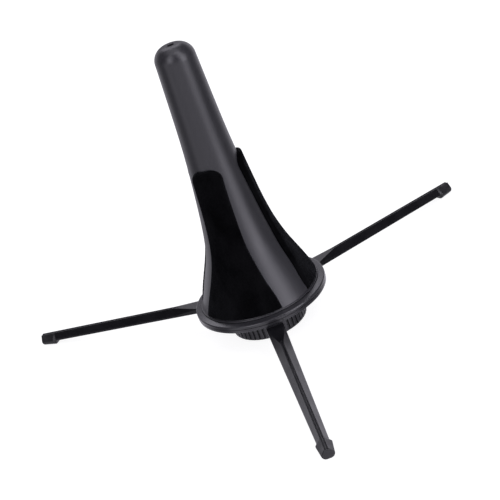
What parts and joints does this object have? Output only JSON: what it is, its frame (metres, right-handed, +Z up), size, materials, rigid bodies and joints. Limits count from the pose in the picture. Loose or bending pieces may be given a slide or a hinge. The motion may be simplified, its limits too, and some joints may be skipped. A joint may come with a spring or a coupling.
{
  "type": "oboe peg stand",
  "caption": "Bell-shaped instrument peg with velvet pads on a round flange, clamped by a ribbed knob to three folding legs.",
  "frame": {"origin": "on the peg's axis at floor level, midway between the three feet", "axes": "+Z up along the peg, -Y along the front leg, +X to the right seen from the front leg"},
  "size_m": [0.2468, 0.214, 0.16],
  "materials": {
    "shell_plastic": "satin moulded",
    "base_plastic": "satin moulded",
    "hub_plastic": "matte moulded",
    "knob_plastic": "matte moulded",
    "velvet": "short-pile velvet",
    "leg_steel": "satin black powder coat",
    "foot_rubber": "moulded",
    "zinc_steel": "zinc plated",
    "washer_nylon": "natural nylon"
  },
  "bodies": {
    "hub": {"leg_hub": "hub_plastic", "hub_cap": "hub_plastic", "hub_screw": "zinc_steel", "hinge_pin_front": "zinc_steel", "hinge_pin_right": "zinc_steel", "hinge_pin_left": "zinc_steel", "thrust_washer": "washer_nylon", "knob_screw": "zinc_steel"},
    "peg": {"peg_shell": "shell_plastic", "base_flange": "base_plastic", "leg_seat_ring": "base_plastic", "flange_screws": "zinc_steel", "velvet_pad_front": "velvet", "velvet_pad_right": "velvet", "velvet_pad_rear": "velvet"},
    "knob": {"clamp_knob": "knob_plastic"},
    "front_leg": {"leg_front": "leg_steel", "foot_front": "foot_rubber"},
    "right_leg": {"leg_right": "leg_steel", "foot_right": "foot_rubber"},
    "left_leg": {"leg_left": "leg_steel", "foot_left": "foot_rubber"}
  },
  "joints": [
    {"name": "peg_lift", "type": "slide", "parent": "hub", "child": "peg", "axis": [0, 0, 1], "range_m": [0, 0.156]},
    {"name": "front_leg_fold", "type": "hinge", "parent": "hub", "child": "front_leg", "pos_m": [0, -0.0115, 0.01556], "axis": [-1, 0, 0], "range_deg": [0, 98.2]},
    {"name": "right_leg_fold", "type": "hinge", "parent": "hub", "child": "right_leg", "pos_m": [0.00996, 0.00575, 0.01556], "axis": [0.5, -0.866, 0], "range_deg": [0, 98.2]},
    {"name": "left_leg_fold", "type": "hinge", "parent": "hub", "child": "left_leg", "pos_m": [-0.00996, 0.00575, 0.01556], "axis": [0.5, 0.866, 0], "range_deg": [0, 98.2]},
    {"name": "knob_turn", "type": "hinge", "parent": "hub", "child": "knob", "pos_m": [0, 0, 0.005], "axis": [0, 0, 1], "continuous": true}
  ],
  "couplings": [
    {"joint": "front_leg_fold", "follows": "peg_lift", "rad_per_m": 10.96},
    {"joint": "right_leg_fold", "follows": "peg_lift", "rad_per_m": 10.96},
    {"joint": "left_leg_fold", "follows": "peg_lift", "rad_per_m": 10.96}
  ]
}
